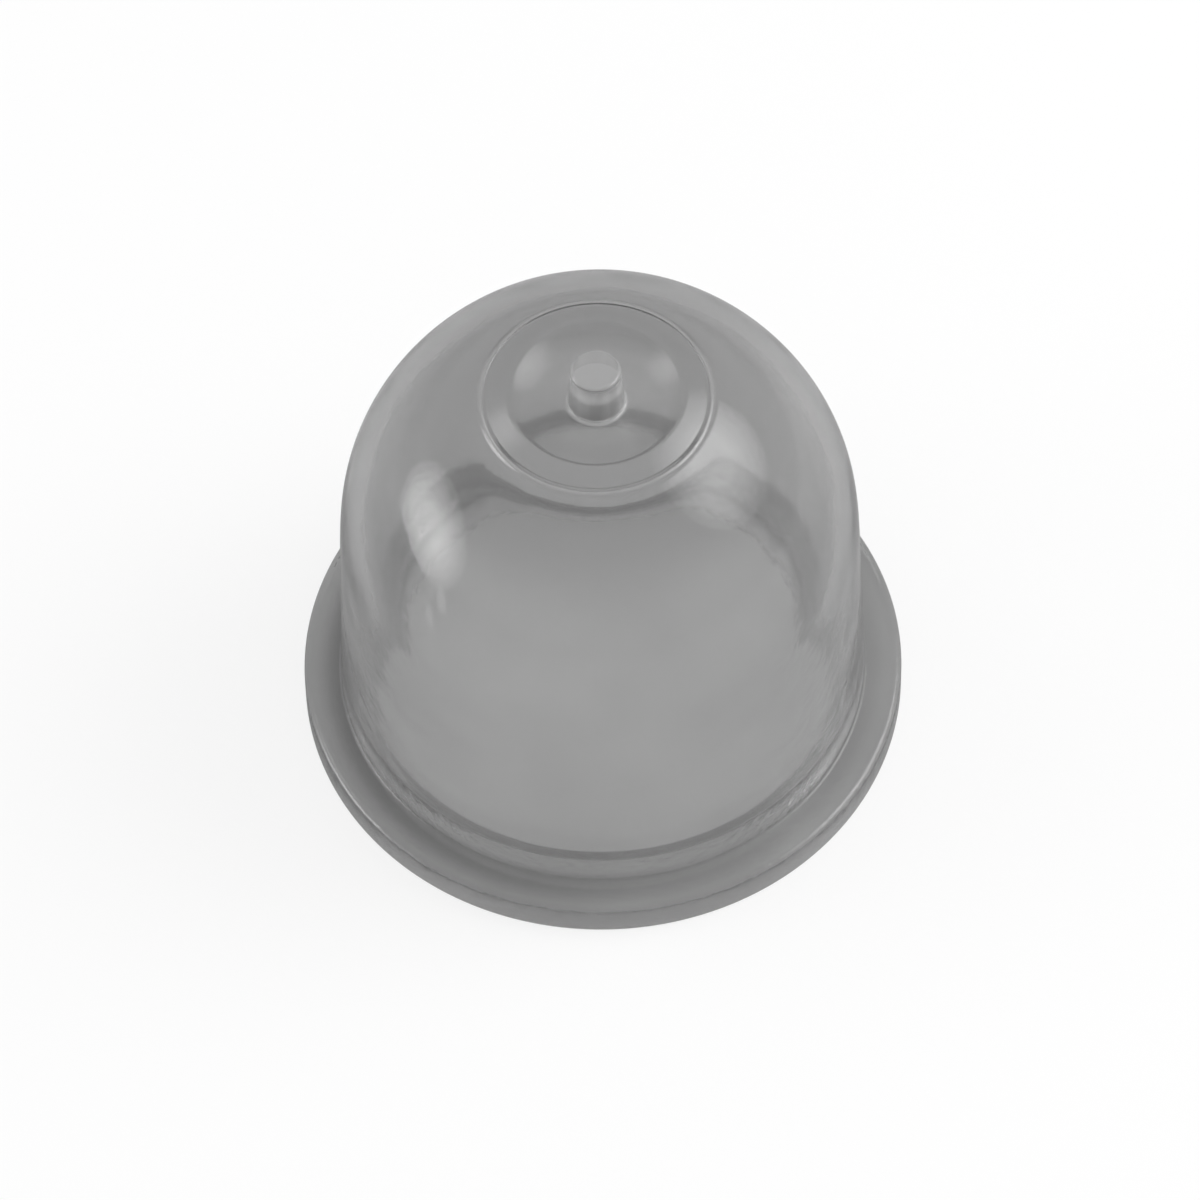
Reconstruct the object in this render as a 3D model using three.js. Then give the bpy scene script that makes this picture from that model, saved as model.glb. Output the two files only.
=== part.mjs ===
// Primer bulb: a soft clear dome on a round flange, moulded in one piece and open underneath.
// It stands on its flange. The origin is the middle of the underside, +Z is up, and sizes are in millimetres.
import * as THREE from 'three';

// Flange
const flangeRadius = 11;
const flangeThickness = 1.3;
const rimTopRound = 0.25;
const rimFootRound = 0.12;
const flangeRootRound = 0.15;

// Outer wall and dome: the wall leans in a little on its way up, and runs smoothly into the dome
const wallFootRadius = 9.65;
const springRadius = 9.35;
const springHeight = 10.05;
const domeRise = 8.95;

// Seam ring, a fine ridge round the crown
const seamRadius = 4.1;
const seamHalfWidth = 0.09;
const seamProud = 0.04;

// Dimple in the crown, a shallow dish, and the moulding nub that stands in the middle of it
const dimpleRadius = 3.1;
const dimpleEdgeRound = 0.45;
const dimpleDepth = 0.65;
const nubRadius = 0.9;
const nubFootRadius = 1;
const nubHeight = 1.95;
const nubTopRound = 0.15;
const nubFootRound = 0.3;

// Hollow inside: the wall is equally thick all the way up, and the ceiling is flat under the dimple
const wall = 0.8;
const crownWall = 0.65;
const ceilingRound = 2.5;

// Lip inside the mouth, which is narrower than the hollow above it
const mouthRadius = 8.4;
const lipHeight = 2;
const lipRootRound = 0.15;
const lipTopRound = 0.1;
const lipFootRound = 0.15;

// Fineness of the faceted solid
const turnSides = 60;
const domeSteps = 10;
const hollowSteps = 12;
const landSteps = 2;
const dishSteps = 3;
const roundSteps = 2;

// A corner of the section: its distance from the axis, its height, and the radius that rounds it
const corner = (radius, height, round = 0) => ({ point: new THREE.Vector2(radius, height), round });

// The arc that touches both sides of a rounded corner, as wide as asked or as its shorter side has room for
function arcAtCorner(before, { point, round }, after) {
  const sideBefore = before.point.clone().sub(point);
  const sideAfter = after.point.clone().sub(point);
  const halfAngle = sideBefore.angleTo(sideAfter) / 2;
  const room = Math.min(sideBefore.length(), sideAfter.length()) / 2;
  const reach = Math.min(round / Math.tan(halfAngle), room);
  sideBefore.normalize();
  sideAfter.normalize();
  const towardsCentre = sideBefore.clone().add(sideAfter).normalize();
  const centre = point.clone().addScaledVector(towardsCentre, reach / Math.cos(halfAngle));
  const spoke = point.clone().addScaledVector(sideBefore, reach).sub(centre);
  const turn = Math.sign(towardsCentre.cross(sideBefore)) * (Math.PI - 2 * halfAngle);
  const points = [];
  for (let step = 0; step <= roundSteps; step += 1) {
    points.push(spoke.clone().rotateAround(new THREE.Vector2(), (turn * step) / roundSteps).add(centre));
  }
  return points;
}

// The points of the section, with its corners rounded
function roundedSection(corners) {
  return corners.flatMap((each, index) => {
    if (each.round === 0) return [each.point];
    return arcAtCorner(corners[index - 1], each, corners[index + 1]);
  });
}

// A dome, elliptical in section, over a spring line. Angles are measured up from the spring line.
function domeOver({ baseHeight, width, rise }) {
  const heightAt = (radius) => baseHeight + rise * Math.sqrt(1 - (radius / width) ** 2);
  const angleAt = (radius) => Math.acos(radius / width);
  const angleAtHeight = (height) => Math.asin((height - baseHeight) / rise);
  // Where a straight line from a point outside touches the dome
  const angleTouchedFrom = (radius, height) => {
    const across = radius / width;
    const along = (height - baseHeight) / rise;
    return Math.atan2(along, across) + Math.acos(1 / Math.hypot(across, along));
  };
  const at = (angle) => corner(width * Math.cos(angle), baseHeight + rise * Math.sin(angle));
  const curve = (first, last, steps) => {
    const corners = [];
    for (let step = 0; step <= steps; step += 1) {
      corners.push(at(THREE.MathUtils.lerp(first, last, step / steps)));
    }
    return corners;
  };
  return { heightAt, angleAt, angleAtHeight, angleTouchedFrom, at, curve };
}

const outerDome = domeOver({ baseHeight: springHeight, width: springRadius, rise: domeRise });
const hollowDome = domeOver({ baseHeight: springHeight, width: springRadius - wall, rise: domeRise - wall });
const dimpleFloorHeight = outerDome.heightAt(dimpleRadius) - dimpleDepth;
const ceilingHeight = dimpleFloorHeight - crownWall;
const hollowFootRadius = wallFootRadius - wall;

// The hollow, from the middle of its ceiling down to the lip. The round at the edge of the ceiling, where the
// section turns little, reaches less than half its radius each way.
const ceilingAngle = hollowDome.angleAtHeight(ceilingHeight);
const ceilingEdge = hollowDome.at(ceilingAngle);
const hollowWall = hollowDome
  .curve(ceilingAngle, hollowDome.angleTouchedFrom(hollowFootRadius, lipHeight), hollowSteps)
  .filter(({ point }) => point.distanceTo(ceilingEdge.point) > ceilingRound / 2);
const hollow = [
  corner(0, ceilingHeight),
  { ...ceilingEdge, round: ceilingRound },
  ...hollowWall,
  corner(hollowFootRadius, lipHeight, lipRootRound),
];

// The lip and the flange, from the mouth out and up to the foot of the wall
const flange = [
  corner(mouthRadius, lipHeight, lipTopRound),
  corner(mouthRadius, 0, lipFootRound),
  corner(flangeRadius, 0, rimFootRound),
  corner(flangeRadius, flangeThickness, rimTopRound),
  corner(wallFootRadius, flangeThickness, flangeRootRound),
];

// The dome up to the edge of the dimple, with the seam ring on its way
const wallTop = outerDome.angleTouchedFrom(wallFootRadius, flangeThickness);
const seamOutside = outerDome.angleAt(seamRadius + seamHalfWidth);
const seamInside = outerDome.angleAt(seamRadius - seamHalfWidth);
const dome = [
  ...outerDome.curve(wallTop, seamOutside, domeSteps),
  corner(seamRadius, outerDome.heightAt(seamRadius) + seamProud),
  ...outerDome.curve(seamInside, outerDome.angleAt(dimpleRadius), landSteps),
];
dome[dome.length - 1].round = dimpleEdgeRound;

// The dish of the dimple, in to the foot of the nub, and the nub up to its middle
const dishHeightAt = (radius) => dimpleFloorHeight + dimpleDepth * (radius / dimpleRadius) ** 2;
const dish = [];
for (let step = 1; step < dishSteps; step += 1) {
  const radius = THREE.MathUtils.lerp(dimpleRadius, nubFootRadius, step / dishSteps);
  dish.push(corner(radius, dishHeightAt(radius)));
}
const nubTopHeight = dimpleFloorHeight + nubHeight;
const nub = [
  corner(nubFootRadius, dishHeightAt(nubFootRadius), nubFootRound),
  corner(nubRadius, nubTopHeight, nubTopRound),
  corner(0, nubTopHeight),
];

const section = roundedSection([...hollow, ...flange, ...dome, ...dish, ...nub]);
const shape = new THREE.LatheGeometry(section, turnSides);
shape.rotateX(Math.PI / 2);

const smokyPolyurethane = new THREE.MeshStandardMaterial({ color: 0x9c9c9c, roughness: 0.3, metalness: 0 });
const primerBulb = new THREE.Mesh(shape, smokyPolyurethane);
primerBulb.name = 'primer_bulb';

const part = new THREE.Group();
part.add(primerBulb);

export default part;
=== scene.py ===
"""Primer bulb: a soft, smoky, see-through dome on a round flange, lit in a plain pale studio."""
import math

import bmesh
import bpy
from mathutils import Matrix, Vector


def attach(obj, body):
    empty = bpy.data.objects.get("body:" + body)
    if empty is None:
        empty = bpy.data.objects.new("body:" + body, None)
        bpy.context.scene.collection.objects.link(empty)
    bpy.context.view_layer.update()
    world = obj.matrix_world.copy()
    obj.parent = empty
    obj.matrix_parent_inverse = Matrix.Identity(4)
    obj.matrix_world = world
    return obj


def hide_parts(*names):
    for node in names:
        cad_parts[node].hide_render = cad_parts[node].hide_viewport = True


MM = 0.001

# Sizes in millimetres, as in the part's source
FLANGE_RADIUS = 11.0
FLANGE_THICKNESS = 1.3
RIM_TOP_ROUND = 0.25
RIM_FOOT_ROUND = 0.12
FLANGE_ROOT_ROUND = 0.15
WALL_FOOT_RADIUS = 9.65
SPRING_RADIUS = 9.35
SPRING_HEIGHT = 10.05
DOME_RISE = 8.95
SEAM_RADIUS = 4.1
SEAM_HALF_WIDTH = 0.09
SEAM_PROUD = 0.04
DIMPLE_RADIUS = 3.1
DIMPLE_EDGE_ROUND = 0.45
DIMPLE_DEPTH = 0.65
NUB_RADIUS = 0.9
NUB_FOOT_RADIUS = 1.0
NUB_HEIGHT = 1.95
NUB_TOP_ROUND = 0.15
NUB_FOOT_ROUND = 0.3
WALL = 0.8
CROWN_WALL = 0.65
MOUTH_RADIUS = 8.4
LIP_HEIGHT = 2.0
LIP_ROOT_ROUND = 0.15
LIP_TOP_ROUND = 0.1
LIP_FOOT_ROUND = 0.15

# How much of the light goes straight through the bulb, its nub and its seam, and where the nub starts and ends
CLEAR_SHARE = 0.92
NUB_CLEAR_SHARE = 0.6
NUB_TOP_CLEAR_SHARE = 0.75
SEAM_CLEAR_SHARE = 0.8
SCRATCHES_CLEAR_SHARE = 0.82
NUB_BASE_HEIGHT = 17.8
NUB_TOP_HEIGHT = 19.79

# The middle of the patch of scratches, and how far it reaches
SCRATCHES_AT = (-6.17, -5.57, 14.13)
SCRATCHES_REACH = 1.6

# Heights between which the flange's dullness fades out, the crown starts, and the tone darkens towards it
FLANGE_FADE = (1.9, 1.4)
CROWN_FADE = (17.2, 17.4)
SHOULDER_HEIGHT = 15.0

# Tones of the bulb, where 1 is white, its roughness, and how it bends and swallows light
CLOUD_RANGE = (0.3, 0.7)
CLOUD_TONES = (0.86, 0.95)
CROWN_TONE = 0.75
# Tone of the painted shade in the dimple
DIMPLE_SHADE_TONE = 0.7
# Tone of the painted shade in the corner beside the wall
CORNER_SHADE_TONE = 0.55
STREAK_TONE = 0.72
ROUGHNESS = (0.05, 0.09)
WORN_ROUGHNESS = 0.07
IOR = 1.49
SMOKE_TONE = 0.5
SMOKE_DENSITY = 360.0

# Noises: scale, detail, and stretch where one is drawn out
CLOUD_NOISE = (160.0, 2.0)
WAVE_NOISE = (420.0, 1.0)
GRAIN_NOISE = (2500.0, 2.0)
SCRATCH_NOISE = (1100.0, 1.0, (1, 0.3, 0.4))
STREAK_NOISE = (1800.0, 1.0, (1, 1, 0.1))
WAVE_STRENGTH = 0.35
WAVE_HEIGHT = 0.06 * MM
GRAIN_STRENGTH = 0.12
GRAIN_HEIGHT = 0.025 * MM

# Floor: its colour, its colour in reflections, and how much it glows when it is seen, straight or through the bulb
FLOOR_SIZE = 3.0
FLOOR_DROP = 0.02 * MM
FLOOR_TONE = 0.88
FLOOR_GLOSSY_TONE = 0.45
FLOOR_SEEN_GLOW = 0.8
FLOOR_THROUGH_GLOW = 0.25

# Light from all round: its level on surfaces, in reflections, through the bulb and to the camera. Reflections and what
# is seen through the bulb are darker than the white backdrop, to match the photograph's tones.
WORLD_LEVEL = 0.6
WORLD_GLOSSY_LEVEL = 0.35
WORLD_THROUGH_LEVEL = 0.8
WORLD_SEEN_LEVEL = 1.0

# Fineness of the smooth mesh
TURN_SIDES = 240
DOME_STEPS = 60
HOLLOW_STEPS = 60
WALL_STEPS = 40
CEILING_STEPS = 26
EASE_PASSES = 40
LAND_STEPS = 8
DISH_STEPS = 20
ROUND_STEPS = 9
SEAM_STEPS = 8

# Soft boxes: their distance from the bulb, how many layers each has, and how far apart the layers are
BOX_DISTANCE = 0.3
BOX_LAYERS = 5
LAYER_GAP = 3 * MM

# Camera: it looks at a point on the axis from the height and distance of the photograph's view
LOOK_HEIGHT = 8.0 * MM
CAMERA_DISTANCE = 320.0 * MM
CAMERA_ELEVATION = 56.3
CAMERA_ROLL = -1.4
SENSOR = 36.0
PICTURE_PIXELS = 1200
PIXELS_PER_MM = 27.62
LOOK_PIXEL_X = 600.3
LOOK_PIXEL_Y = 556.1


def corner(radius, height, rounding=0.0):
    """A corner of the section: its distance from the axis, its height, and the radius that rounds it."""
    return Vector((radius, height)), rounding


def arc_at_corner(before, here, after):
    """The arc that touches both sides of a rounded corner."""
    point, rounding = here
    side_before = before[0] - point
    side_after = after[0] - point
    half_angle = side_before.angle(side_after) / 2
    room = min(side_before.length, side_after.length) / 2
    reach = min(rounding / math.tan(half_angle), room)
    side_before.normalize()
    side_after.normalize()
    towards_centre = (side_before + side_after).normalized()
    centre = point + towards_centre * (reach / math.cos(half_angle))
    spoke = point + side_before * reach - centre
    across = towards_centre.x * side_before.y - towards_centre.y * side_before.x
    turn = math.copysign(math.pi - 2 * half_angle, across)
    return [centre + Matrix.Rotation(turn * step / ROUND_STEPS, 2) @ spoke for step in range(ROUND_STEPS + 1)]


def rounded_section(corners):
    """The points of the section, with its corners rounded."""
    points = []
    for index, here in enumerate(corners):
        if here[1] == 0:
            points.append(here[0])
        else:
            points.extend(arc_at_corner(corners[index - 1], here, corners[index + 1]))
    return points


class Dome:
    """A dome, elliptical in section, over a spring line."""

    def __init__(self, base_height, width, rise):
        self.base_height = base_height
        self.width = width
        self.rise = rise

    def height_at(self, radius):
        return self.base_height + self.rise * math.sqrt(1 - (radius / self.width) ** 2)

    def angle_at(self, radius):
        return math.acos(radius / self.width)

    def angle_at_height(self, height):
        return math.asin((height - self.base_height) / self.rise)

    def angle_touched_from(self, radius, height):
        """The angle at which a straight line from a point outside touches the dome."""
        across = radius / self.width
        along = (height - self.base_height) / self.rise
        return math.atan2(along, across) + math.acos(1 / math.hypot(across, along))

    def curve(self, first, last, steps):
        corners = []
        for step in range(steps + 1):
            angle = first + (last - first) * step / steps
            corners.append(corner(self.width * math.cos(angle), self.base_height + self.rise * math.sin(angle)))
        return corners


def straight(first, last, steps):
    """Corners along a straight line, without its first end."""
    return [corner(*first.lerp(last, step / steps)) for step in range(1, steps + 1)]


def eased(corners):
    """The same curve with every change of curvature spread out, by averaging each corner with its neighbours."""
    points = [each[0] for each in corners]
    for _ in range(EASE_PASSES):
        inner = [(before + here * 2 + after) / 4 for before, here, after in zip(points, points[1:], points[2:])]
        points = [points[0], *inner, points[-1]]
    return [corner(*point) for point in points]


def clear_of(corners, end, reach):
    """The corners that lie farther than a reach from an end, so that a round there has room."""
    return [each for each in corners if (each[0] - end[0]).length > reach]


def bulb_section():
    """The outline of half the bulb, from the middle of the hollow's ceiling round to the middle of the nub's top."""
    outer = Dome(SPRING_HEIGHT, SPRING_RADIUS, DOME_RISE)
    hollow = Dome(SPRING_HEIGHT, SPRING_RADIUS - WALL, DOME_RISE - WALL)
    floor_height = outer.height_at(DIMPLE_RADIUS) - DIMPLE_DEPTH
    ceiling_height = floor_height - CROWN_WALL
    nub_top = floor_height + NUB_HEIGHT

    ceiling_angle = hollow.angle_at_height(ceiling_height)
    wall_bottom = hollow.angle_touched_from(WALL_FOOT_RADIUS - WALL, LIP_HEIGHT)
    hollow_foot = Vector((WALL_FOOT_RADIUS - WALL, LIP_HEIGHT))
    shoulder = hollow.curve(ceiling_angle, wall_bottom, HOLLOW_STEPS)
    ceiling = [corner(0.0, ceiling_height)]
    ceiling += straight(ceiling[0][0], shoulder[0][0], CEILING_STEPS)[:-1]
    shoulder += straight(shoulder[-1][0], hollow_foot, WALL_STEPS)
    flange_root = corner(WALL_FOOT_RADIUS, FLANGE_THICKNESS, FLANGE_ROOT_ROUND)
    corners = clear_of(eased(ceiling + shoulder), (hollow_foot, 0), LIP_ROOT_ROUND)
    corners += [
        corner(WALL_FOOT_RADIUS - WALL, LIP_HEIGHT, LIP_ROOT_ROUND),
        corner(MOUTH_RADIUS, LIP_HEIGHT, LIP_TOP_ROUND),
        corner(MOUTH_RADIUS, 0.0, LIP_FOOT_ROUND),
        corner(FLANGE_RADIUS, 0.0, RIM_FOOT_ROUND),
        corner(FLANGE_RADIUS, FLANGE_THICKNESS, RIM_TOP_ROUND),
        flange_root,
    ]
    wall_top = outer.angle_touched_from(WALL_FOOT_RADIUS, FLANGE_THICKNESS)
    shoulder = outer.curve(wall_top, outer.angle_at(SEAM_RADIUS + SEAM_HALF_WIDTH), DOME_STEPS)
    shoulder = list(reversed(straight(shoulder[0][0], flange_root[0], WALL_STEPS))) + shoulder
    corners += clear_of(eased(shoulder), flange_root, FLANGE_ROOT_ROUND)
    for step in range(1, SEAM_STEPS):
        angle = math.pi * step / SEAM_STEPS
        radius = SEAM_RADIUS + SEAM_HALF_WIDTH * math.cos(angle)
        corners.append(corner(radius, outer.height_at(radius) + SEAM_PROUD * math.sin(angle)))
    edge = corner(DIMPLE_RADIUS, outer.height_at(DIMPLE_RADIUS), DIMPLE_EDGE_ROUND)
    land = outer.curve(outer.angle_at(SEAM_RADIUS - SEAM_HALF_WIDTH), outer.angle_at(DIMPLE_RADIUS), LAND_STEPS)
    corners += clear_of(land, edge, DIMPLE_EDGE_ROUND)
    corners.append(edge)
    dish = []
    for step in range(DISH_STEPS + 1):
        radius = DIMPLE_RADIUS + (NUB_FOOT_RADIUS - DIMPLE_RADIUS) * step / DISH_STEPS
        dish.append(corner(radius, floor_height + DIMPLE_DEPTH * (radius / DIMPLE_RADIUS) ** 2))
    nub_foot = corner(*dish[-1][0], NUB_FOOT_ROUND)
    corners += clear_of(clear_of(dish, edge, DIMPLE_EDGE_ROUND), nub_foot, NUB_FOOT_ROUND)
    corners += [
        nub_foot,
        corner(NUB_RADIUS, nub_top, NUB_TOP_ROUND),
        corner(0.0, nub_top),
    ]
    return rounded_section(corners)


def turned_mesh(name, section):
    """Turns a section that starts and ends on the axis into a closed, smooth mesh."""
    shape = bmesh.new()
    rings = []
    for radius, height in section:
        sides = 1 if radius < 1e-6 else TURN_SIDES
        ring = []
        for side in range(sides):
            angle = 2 * math.pi * side / TURN_SIDES
            ring.append(shape.verts.new((radius * math.cos(angle) * MM, radius * math.sin(angle) * MM, height * MM)))
        rings.append(ring)
    for lower, upper in zip(rings, rings[1:]):
        for side in range(TURN_SIDES):
            after = (side + 1) % TURN_SIDES
            if len(lower) == 1:
                shape.faces.new((lower[0], upper[after], upper[side]))
            elif len(upper) == 1:
                shape.faces.new((lower[side], lower[after], upper[0]))
            else:
                shape.faces.new((lower[side], lower[after], upper[after], upper[side]))
    bmesh.ops.recalc_face_normals(shape, faces=shape.faces)
    for face in shape.faces:
        face.smooth = True
    mesh = bpy.data.meshes.new(name)
    shape.to_mesh(mesh)
    shape.free()
    piece = bpy.data.objects.new(name, mesh)
    bpy.context.scene.collection.objects.link(piece)
    return piece


class Graph:
    """The nodes of a new material, with short ways to put together the masks that shape it."""

    def __init__(self, name):
        self.material = bpy.data.materials.new(name)
        self.material.use_nodes = True
        self.nodes = self.material.node_tree.nodes
        self.links = self.material.node_tree.links
        self.surface = self.nodes["Principled BSDF"]
        self.output = self.nodes["Material Output"]

    def feed(self, socket, source):
        """Links a socket to the output that it reads, or sets the value that it holds."""
        if isinstance(source, bpy.types.NodeSocket):
            self.links.new(source, socket)
        else:
            socket.default_value = source

    def maths(self, operation, *values):
        node = self.nodes.new("ShaderNodeMath")
        node.operation = operation
        for socket, value in zip(node.inputs, values):
            self.feed(socket, value)
        return node.outputs["Value"]

    def vector_maths(self, operation, *values):
        node = self.nodes.new("ShaderNodeVectorMath")
        node.operation = operation
        for socket, value in zip(node.inputs, values):
            self.feed(socket, value)
        return node

    def product(self, *masks):
        result = masks[0]
        for mask in masks[1:]:
            result = self.maths("MULTIPLY", result, mask)
        return result

    def ranged(self, value, first, last, at_first=0.0, at_last=1.0):
        """A number that runs smoothly from one level to another as the value runs from first to last."""
        node = self.nodes.new("ShaderNodeMapRange")
        node.interpolation_type = "SMOOTHSTEP"
        for name, source in zip(node.inputs.keys(), (value, first, last, at_first, at_last)):
            self.feed(node.inputs[name], source)
        return node.outputs["Result"]

    def mixed(self, kind, where, there, elsewhere):
        """One value where the mask is 1, and the other where it is 0."""
        node = self.nodes.new("ShaderNodeMix")
        node.data_type = kind
        self.feed(node.inputs["Factor"], where)
        self.feed(node.inputs["A"], elsewhere)
        self.feed(node.inputs["B"], there)
        return node.outputs["Result"]

    def noise(self, place, scale, detail, stretch=(1, 1, 1)):
        """Noise, finer with a larger scale, and drawn out along an axis where its stretch is below 1."""
        mapping = self.nodes.new("ShaderNodeMapping")
        mapping.inputs["Scale"].default_value = stretch
        self.feed(mapping.inputs["Vector"], place)
        node = self.nodes.new("ShaderNodeTexNoise")
        node.inputs["Scale"].default_value = scale
        node.inputs["Detail"].default_value = detail
        self.feed(node.inputs["Vector"], mapping.outputs["Vector"])
        return node.outputs["Fac"]

    def bump(self, height, strength, distance, under=None):
        """Bumps as high as a distance, on top of the bumps under them."""
        node = self.nodes.new("ShaderNodeBump")
        node.inputs["Distance"].default_value = distance
        self.feed(node.inputs["Height"], height)
        self.feed(node.inputs["Strength"], strength)
        if under:
            self.feed(node.inputs["Normal"], under)
        return node.outputs["Normal"]


def grey(tone):
    return tone, tone, tone, 1


def smoky_polyurethane():
    """Smoky see-through polyurethane with cloudy patches, fine texture and a darker crown. Smoky see-through
    polyurethane with cloudy patches, fine texture, and shades fitted to the photograph. The dimple and the
    corner beside the wall hold painted shade.
    """
    graph = Graph("smoky_polyurethane")
    ranged = graph.ranged
    product = graph.product
    place = graph.nodes.new("ShaderNodeTexCoord").outputs["Object"]

    # Where a point lies, in millimetres
    place_in_mm = graph.vector_maths("SCALE", place)
    place_in_mm.inputs["Scale"].default_value = 1 / MM
    place_in_mm = place_in_mm.outputs["Vector"]
    parts = graph.nodes.new("ShaderNodeSeparateXYZ")
    graph.feed(parts.inputs["Vector"], place_in_mm)
    x, y, height = parts.outputs
    radius = graph.vector_maths("LENGTH", graph.vector_maths("MULTIPLY", place_in_mm, (1, 1, 0)).outputs["Vector"])
    radius = radius.outputs["Value"]

    # Masks: 1 where the thing is, and 0 away from it
    on_flange = ranged(height, *FLANGE_FADE)
    on_crown = ranged(height, *CROWN_FADE)
    on_nub = product(
        ranged(radius, NUB_FOOT_RADIUS + 0.15, NUB_FOOT_RADIUS),
        ranged(height, NUB_BASE_HEIGHT, NUB_BASE_HEIGHT + 0.3),
    )
    on_nub_top = ranged(height, NUB_TOP_HEIGHT - 0.2, NUB_TOP_HEIGHT - 0.1)
    on_nub_flank = product(on_nub, ranged(height, NUB_TOP_HEIGHT - 0.1, NUB_TOP_HEIGHT - 0.3))
    on_seam = product(
        ranged(radius, SEAM_RADIUS + SEAM_HALF_WIDTH, SEAM_RADIUS),
        ranged(radius, SEAM_RADIUS - SEAM_HALF_WIDTH, SEAM_RADIUS),
        on_crown,
    )
    to_scratches = graph.vector_maths("DISTANCE", place_in_mm, SCRATCHES_AT).outputs["Value"]
    on_scratches = product(
        ranged(to_scratches, SCRATCHES_REACH, 0.3 * SCRATCHES_REACH),
        ranged(graph.noise(place, *SCRATCH_NOISE), 0.56, 0.62),
    )
    # Painted shade in the dimple, on its near and far stretches, between its edge and the nub's foot
    near_and_far = ranged(graph.maths("ABSOLUTE", y), 0.8, 2.2)
    dimple_shade = product(
        ranged(radius, DIMPLE_RADIUS + 0.05, DIMPLE_RADIUS - 0.3),
        ranged(radius, NUB_FOOT_RADIUS + 0.3, DIMPLE_RADIUS - 0.7),
        on_crown,
        near_and_far,
    )
    # Painted shade on the flange in the corner beside the wall, deeper towards -x than towards +x
    corner_shade = product(
        on_flange,
        ranged(radius, FLANGE_RADIUS - 0.3, WALL_FOOT_RADIUS + 0.05),
        ranged(radius, WALL_FOOT_RADIUS - 0.25, WALL_FOOT_RADIUS - 0.05),
        ranged(x, 9.0, -8.0, at_first=0.3),
    )
    # A darker tone over the crown and the shoulder below it, and less deep inside the dimple
    darker_crown = product(
        ranged(height, SHOULDER_HEIGHT, CROWN_FADE[0]),
        ranged(radius, DIMPLE_RADIUS - 0.6, DIMPLE_RADIUS + 0.3, at_first=0.4),
    )
    streaked = product(on_nub_flank, ranged(graph.noise(place, *STREAK_NOISE), 0.4, 0.65))
    handled = product(on_crown, ranged(radius, SEAM_RADIUS, SEAM_RADIUS - 0.3))

    # Colour: cloudy, and darker at the crown and in the nub's streaks. These shades are fitted to the photograph's
    # tones. On the real bulb they may be dirt, smoke or the play of light.
    # The dimple and the corner beside the wall are darkened with painted shade.
    cloud = graph.noise(place, *CLOUD_NOISE)
    tint = graph.nodes.new("ShaderNodeValToRGB")
    for stop, position, tone in zip(tint.color_ramp.elements, CLOUD_RANGE, CLOUD_TONES):
        stop.position = position
        stop.color = grey(tone)
    graph.feed(tint.inputs["Fac"], cloud)
    colour = tint.outputs["Color"]
    shades = (
        (darker_crown, CROWN_TONE),
        (dimple_shade, DIMPLE_SHADE_TONE),
        (corner_shade, CORNER_SHADE_TONE),
        (streaked, STREAK_TONE),
    )
    for where, tone in shades:
        colour = graph.mixed("RGBA", where, grey(tone), colour)
    graph.feed(graph.surface.inputs["Base Color"], colour)

    # Clearness: the scratches, the nub and the fine ridge of the seam are whiter, as in the photograph
    clear = CLEAR_SHARE
    whiter = (
        (on_scratches, SCRATCHES_CLEAR_SHARE),
        (on_nub, NUB_CLEAR_SHARE),
        (on_nub_top, NUB_TOP_CLEAR_SHARE),
        (on_seam, SEAM_CLEAR_SHARE),
    )
    for where, share in whiter:
        clear = graph.mixed("FLOAT", where, share, clear)
    graph.feed(graph.surface.inputs["Transmission Weight"], clear)

    # The flange and the crown are duller than the wall, which softens the lines in them as in the photograph
    haze = ranged(cloud, 0.0, 1.0, *ROUGHNESS)
    rubbed = graph.maths("MULTIPLY_ADD", graph.maths("MAXIMUM", handled, on_flange), WORN_ROUGHNESS, haze)
    graph.feed(graph.surface.inputs["Roughness"], rubbed)

    waves = graph.bump(graph.noise(place, *WAVE_NOISE), WAVE_STRENGTH, WAVE_HEIGHT)
    grain_strength = ranged(height, *FLANGE_FADE, at_first=GRAIN_STRENGTH)
    grain = graph.bump(graph.noise(place, *GRAIN_NOISE), grain_strength, GRAIN_HEIGHT, waves)
    graph.feed(graph.surface.inputs["Normal"], grain)

    graph.surface.inputs["IOR"].default_value = IOR
    smoke = graph.nodes.new("ShaderNodeVolumeAbsorption")
    smoke.inputs["Color"].default_value = grey(SMOKE_TONE)
    smoke.inputs["Density"].default_value = SMOKE_DENSITY
    graph.feed(graph.output.inputs["Volume"], smoke.outputs["Volume"])
    return graph.material


def pale_floor():
    """A pale floor that the camera sees as white, apart from the bulb's soft shadow."""
    graph = Graph("pale_floor")
    rays = graph.nodes.new("ShaderNodeLightPath")
    tone = graph.mixed("RGBA", rays.outputs["Is Glossy Ray"], grey(FLOOR_GLOSSY_TONE), grey(FLOOR_TONE))
    graph.feed(graph.surface.inputs["Base Color"], tone)
    graph.surface.inputs["Roughness"].default_value = 0.9
    graph.surface.inputs["Specular IOR Level"].default_value = 0.0
    glow = graph.nodes.new("ShaderNodeEmission")
    glow.inputs["Color"].default_value = grey(1)
    glow.inputs["Strength"].default_value = 1.0
    seen = graph.maths("MULTIPLY", rays.outputs["Is Camera Ray"], FLOOR_SEEN_GLOW)
    share = graph.maths("MULTIPLY_ADD", rays.outputs["Is Transmission Ray"], FLOOR_THROUGH_GLOW, seen)
    mix = graph.nodes.new("ShaderNodeMixShader")
    for socket, source in zip(mix.inputs, (share, graph.surface.outputs[0], glow.outputs[0])):
        graph.feed(socket, source)
    graph.feed(graph.output.inputs["Surface"], mix.outputs["Shader"])
    return graph.material


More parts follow.
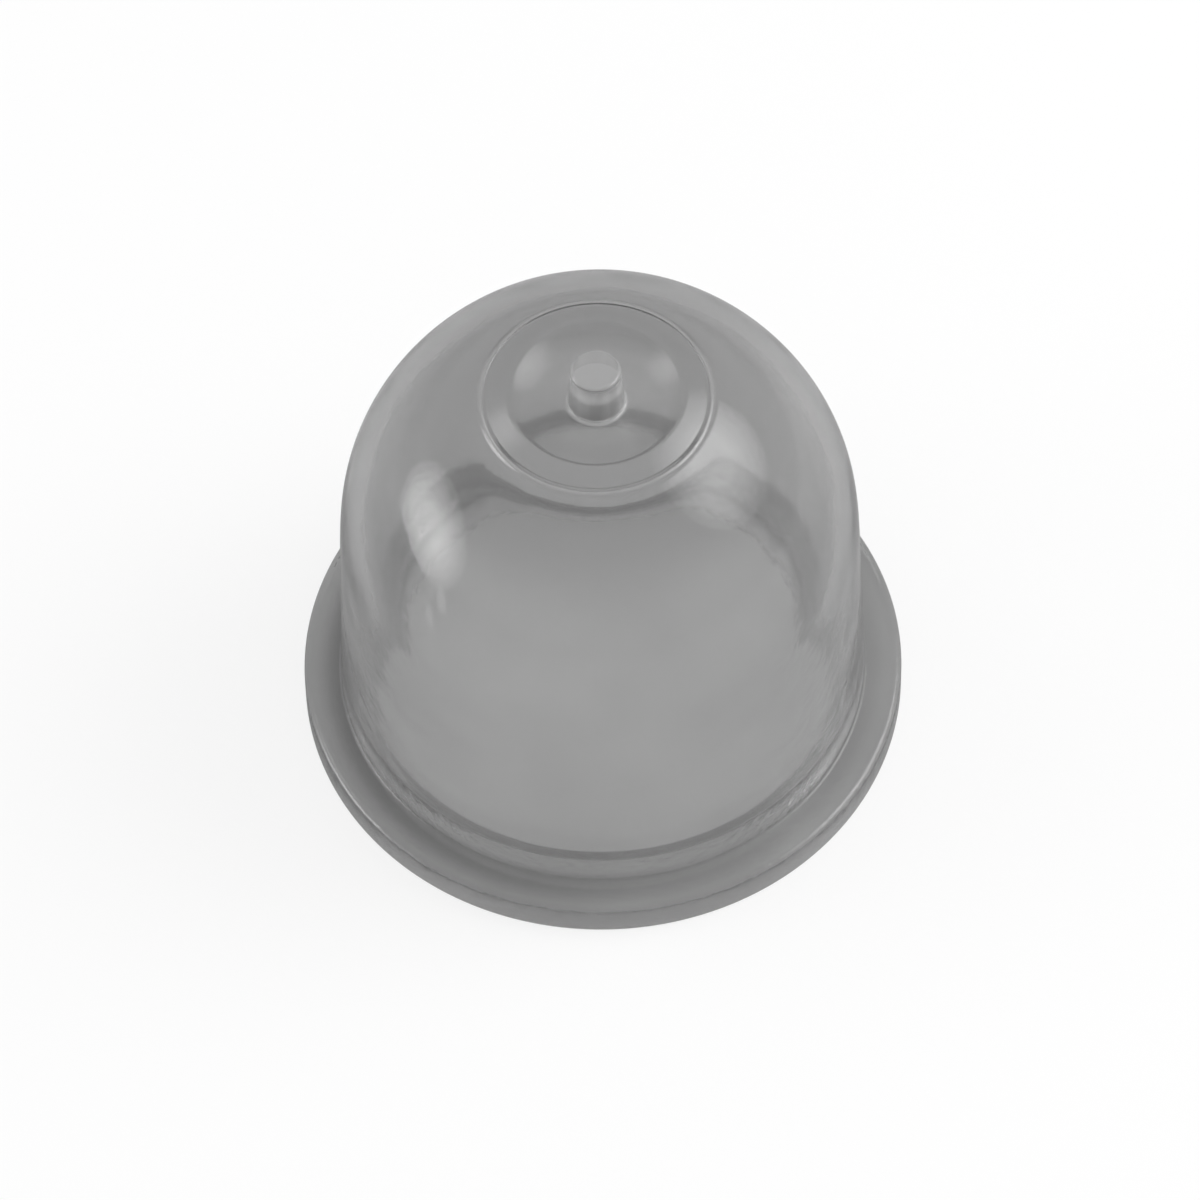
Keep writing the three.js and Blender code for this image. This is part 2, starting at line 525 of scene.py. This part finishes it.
def add_floor():
    mesh = bpy.data.meshes.new("floor")
    half = FLOOR_SIZE / 2
    mesh.from_pydata([(-half, -half, 0), (half, -half, 0), (half, half, 0), (-half, half, 0)], [], [(0, 1, 2, 3)])
    floor = bpy.data.objects.new("floor", mesh)
    bpy.context.scene.collection.objects.link(floor)
    floor.location.z = -FLOOR_DROP
    mesh.materials.append(pale_floor())


def add_world():
    """Even light from all round: white to the camera, and greyer through the bulb and in reflections."""
    world = bpy.data.worlds.new("studio")
    bpy.context.scene.world = world
    world.use_nodes = True
    nodes = world.node_tree.nodes
    links = world.node_tree.links
    rays = nodes.new("ShaderNodeLightPath")
    strength = nodes["Background"].inputs["Strength"]
    levels = (
        ("Is Camera Ray", WORLD_SEEN_LEVEL),
        ("Is Transmission Ray", WORLD_THROUGH_LEVEL),
        ("Is Glossy Ray", WORLD_GLOSSY_LEVEL),
    )
    # Each mix gives one kind of ray its level, and the next mix, or the plain level, to the rest
    for ray, level in levels:
        mix = nodes.new("ShaderNodeMix")
        mix.inputs["B"].default_value = level
        links.new(rays.outputs[ray], mix.inputs["Factor"])
        links.new(mix.outputs["Result"], strength)
        strength = mix.inputs["A"]
    strength.default_value = WORLD_LEVEL
    nodes["Background"].inputs["Color"].default_value = grey(1)


def add_soft_box(name, direction, width, height, radiance):
    """A soft box that faces the bulb. Its ovals of light overlap, so that its face fades towards its edge."""
    aim = Vector((0, 0, LOOK_HEIGHT))
    for layer in range(BOX_LAYERS):
        spread = 0.5 + layer / BOX_LAYERS
        box = bpy.data.lights.new(name, "AREA")
        box.shape = "ELLIPSE"
        box.size = width * spread
        box.size_y = height * spread
        face = math.pi / 4 * box.size * box.size_y
        box.energy = radiance / BOX_LAYERS * math.pi * face
        lamp = bpy.data.objects.new(name, box)
        bpy.context.scene.collection.objects.link(lamp)
        lamp.location = aim + Vector(direction).normalized() * (BOX_DISTANCE + layer * LAYER_GAP)
        lamp.rotation_euler = (aim - lamp.location).to_track_quat("-Z", "Y").to_euler()
        # Only the smallest oval shines through the bulb, where the rest would draw bright lines
        lamp.visible_transmission = layer == 0


def add_camera():
    camera = bpy.data.cameras.new("camera")
    holder = bpy.data.objects.new("camera", camera)
    bpy.context.scene.collection.objects.link(holder)
    elevation = math.radians(CAMERA_ELEVATION)
    roll = math.radians(CAMERA_ROLL)
    back = Vector((0, -math.cos(elevation), math.sin(elevation)))
    level_right = Vector((1, 0, 0))
    level_up = back.cross(level_right)
    right = level_right * math.cos(roll) + level_up * math.sin(roll)
    up = back.cross(right)
    pose = Matrix((right, up, back)).transposed().to_4x4()
    pose.translation = Vector((0, 0, LOOK_HEIGHT)) + back * CAMERA_DISTANCE
    holder.matrix_world = pose
    picture_width = PICTURE_PIXELS / PIXELS_PER_MM * MM
    camera.sensor_width = SENSOR
    camera.lens = SENSOR * CAMERA_DISTANCE / picture_width
    camera.shift_x = (PICTURE_PIXELS / 2 - LOOK_PIXEL_X) / PICTURE_PIXELS
    camera.shift_y = (LOOK_PIXEL_Y - PICTURE_PIXELS / 2) / PICTURE_PIXELS
    camera.clip_start = 0.01
    camera.clip_end = 20.0
    bpy.context.scene.camera = holder


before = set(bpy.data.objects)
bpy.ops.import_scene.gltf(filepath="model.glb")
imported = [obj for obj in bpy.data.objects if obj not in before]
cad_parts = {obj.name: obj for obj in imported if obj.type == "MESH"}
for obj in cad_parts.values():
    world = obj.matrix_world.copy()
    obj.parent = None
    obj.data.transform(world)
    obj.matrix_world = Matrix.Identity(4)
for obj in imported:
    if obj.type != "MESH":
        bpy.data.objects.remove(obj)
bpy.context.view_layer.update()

add_camera()
add_floor()
add_world()
add_soft_box("left_box", (-0.98, -0.06, 0.20), 0.20, 0.15, 6.0)
add_soft_box("right_box", (0.73, 0.11, 0.68), 0.25, 0.23, 5.0)
add_soft_box("top_box", (-0.57, 0.31, 0.76), 0.10, 0.10, 2.5)

bulb = turned_mesh("bulb", bulb_section())
bulb.data.materials.append(smoky_polyurethane())
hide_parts("primer_bulb")
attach(bulb, "root")

bpy.context.scene.view_settings.view_transform = "Standard"
